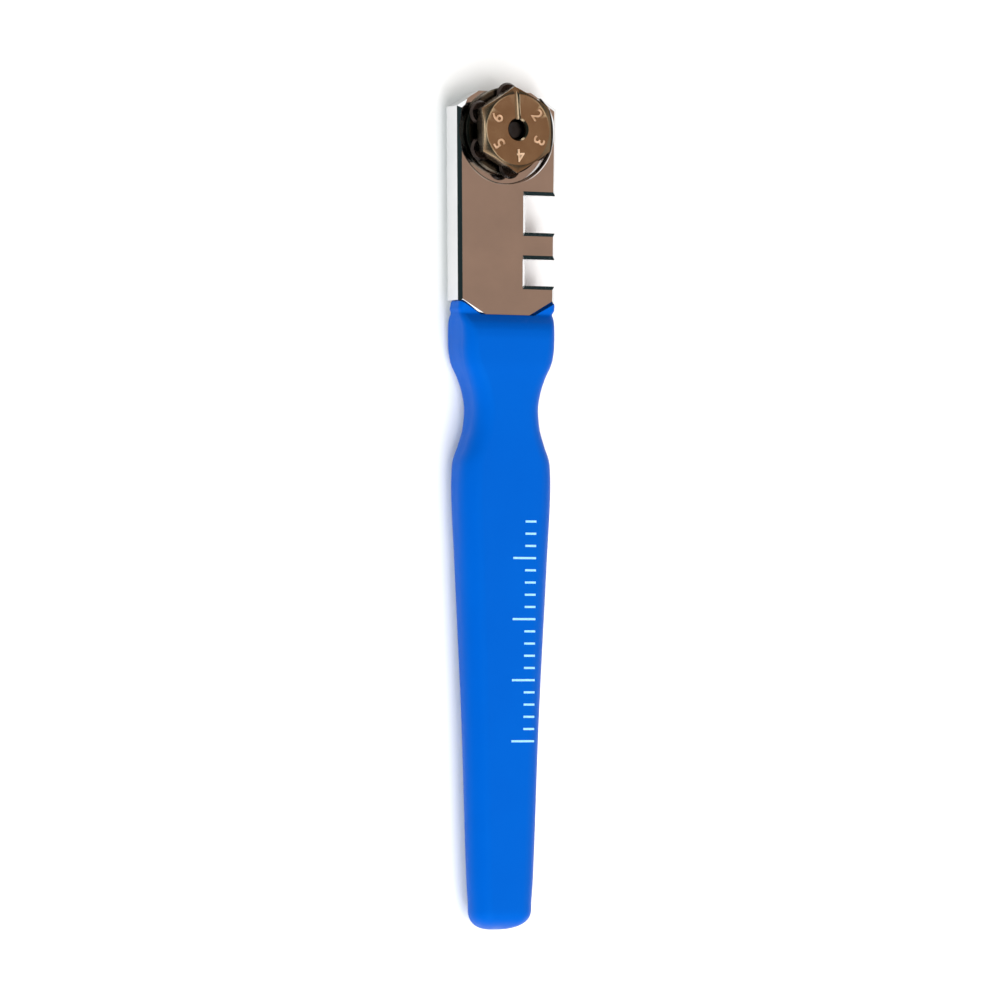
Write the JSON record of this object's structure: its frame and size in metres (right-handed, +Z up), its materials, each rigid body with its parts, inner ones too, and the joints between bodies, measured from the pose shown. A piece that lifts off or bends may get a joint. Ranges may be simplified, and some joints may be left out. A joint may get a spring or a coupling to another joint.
{
  "type": "glass cutter",
  "caption": "Hand glass cutter with a flat plated head, notched for breaking glass, a turret of small cutting wheels and a waisted plastic handle.",
  "frame": {"origin": "middle of the bounding box's bottom face, under the tool lying on its back", "axes": "+Y along the tool towards its head, +Z up through the turret's face, +X to the side with the notches"},
  "size_m": [0.0184, 0.139, 0.0109],
  "materials": {
    "blue_plastic": "smooth moulded gloss",
    "plated_steel": "nickel-plated, polished, warm grey",
    "turret_steel": "plated and lightly brushed, bronze tint",
    "wheel_steel": "dark hardened steel",
    "screw_steel": "zinc-plated",
    "washer_brass": "thin rolled brass"
  },
  "bodies": {
    "frame": {"handle": "blue_plastic", "head_plate": "plated_steel", "friction_washer": "washer_brass", "flat_washer": "screw_steel"},
    "turret": {"turret_body": "turret_steel", "wheel_axle_1": "screw_steel", "wheel_axle_2": "screw_steel", "wheel_axle_3": "screw_steel", "wheel_axle_4": "screw_steel", "wheel_axle_5": "screw_steel", "wheel_axle_6": "screw_steel"},
    "wheel_1": {"cutting_wheel_1": "wheel_steel"},
    "wheel_2": {"cutting_wheel_2": "wheel_steel"},
    "wheel_3": {"cutting_wheel_3": "wheel_steel"},
    "wheel_4": {"cutting_wheel_4": "wheel_steel"},
    "wheel_5": {"cutting_wheel_5": "wheel_steel"},
    "wheel_6": {"cutting_wheel_6": "wheel_steel"},
    "retainer": {"spring_washer": "screw_steel"},
    "screw": {"clamp_screw": "screw_steel"}
  },
  "joints": [
    {"name": "turret_turn", "type": "hinge", "parent": "frame", "child": "turret", "pos_m": [-0.00025, 0.06158, 0.0065], "axis": [0, 0, 1], "continuous": true},
    {"name": "wheel_1_spin", "type": "hinge", "parent": "turret", "child": "wheel_1", "pos_m": [-0.00046, 0.06747, 0.00741], "axis": [0, 0, 1], "continuous": true},
    {"name": "wheel_2_spin", "type": "hinge", "parent": "turret", "child": "wheel_2", "pos_m": [0.00475, 0.0647, 0.00741], "axis": [0, 0, 1], "continuous": true},
    {"name": "wheel_3_spin", "type": "hinge", "parent": "turret", "child": "wheel_3", "pos_m": [0.00496, 0.05881, 0.00741], "axis": [0, 0, 1], "continuous": true},
    {"name": "wheel_4_spin", "type": "hinge", "parent": "turret", "child": "wheel_4", "pos_m": [-0.00004, 0.05568, 0.00741], "axis": [0, 0, 1], "continuous": true},
    {"name": "wheel_5_spin", "type": "hinge", "parent": "turret", "child": "wheel_5", "pos_m": [-0.00525, 0.05845, 0.00741], "axis": [0, 0, 1], "continuous": true},
    {"name": "wheel_6_spin", "type": "hinge", "parent": "turret", "child": "wheel_6", "pos_m": [-0.00546, 0.06435, 0.00741], "axis": [0, 0, 1], "continuous": true},
    {"name": "washer_release", "type": "slide", "parent": "turret", "child": "retainer", "axis": [0, 0, -1], "range_m": [0, 0.00035]},
    {"name": "screw_turn", "type": "hinge", "parent": "retainer", "child": "screw", "pos_m": [-0.00025, 0.06158, 0.0005], "axis": [0, 0, -1], "range_deg": [0, 180]}
  ],
  "couplings": [
    {"joint": "screw_turn", "follows": "washer_release", "rad_per_m": 8976}
  ]
}
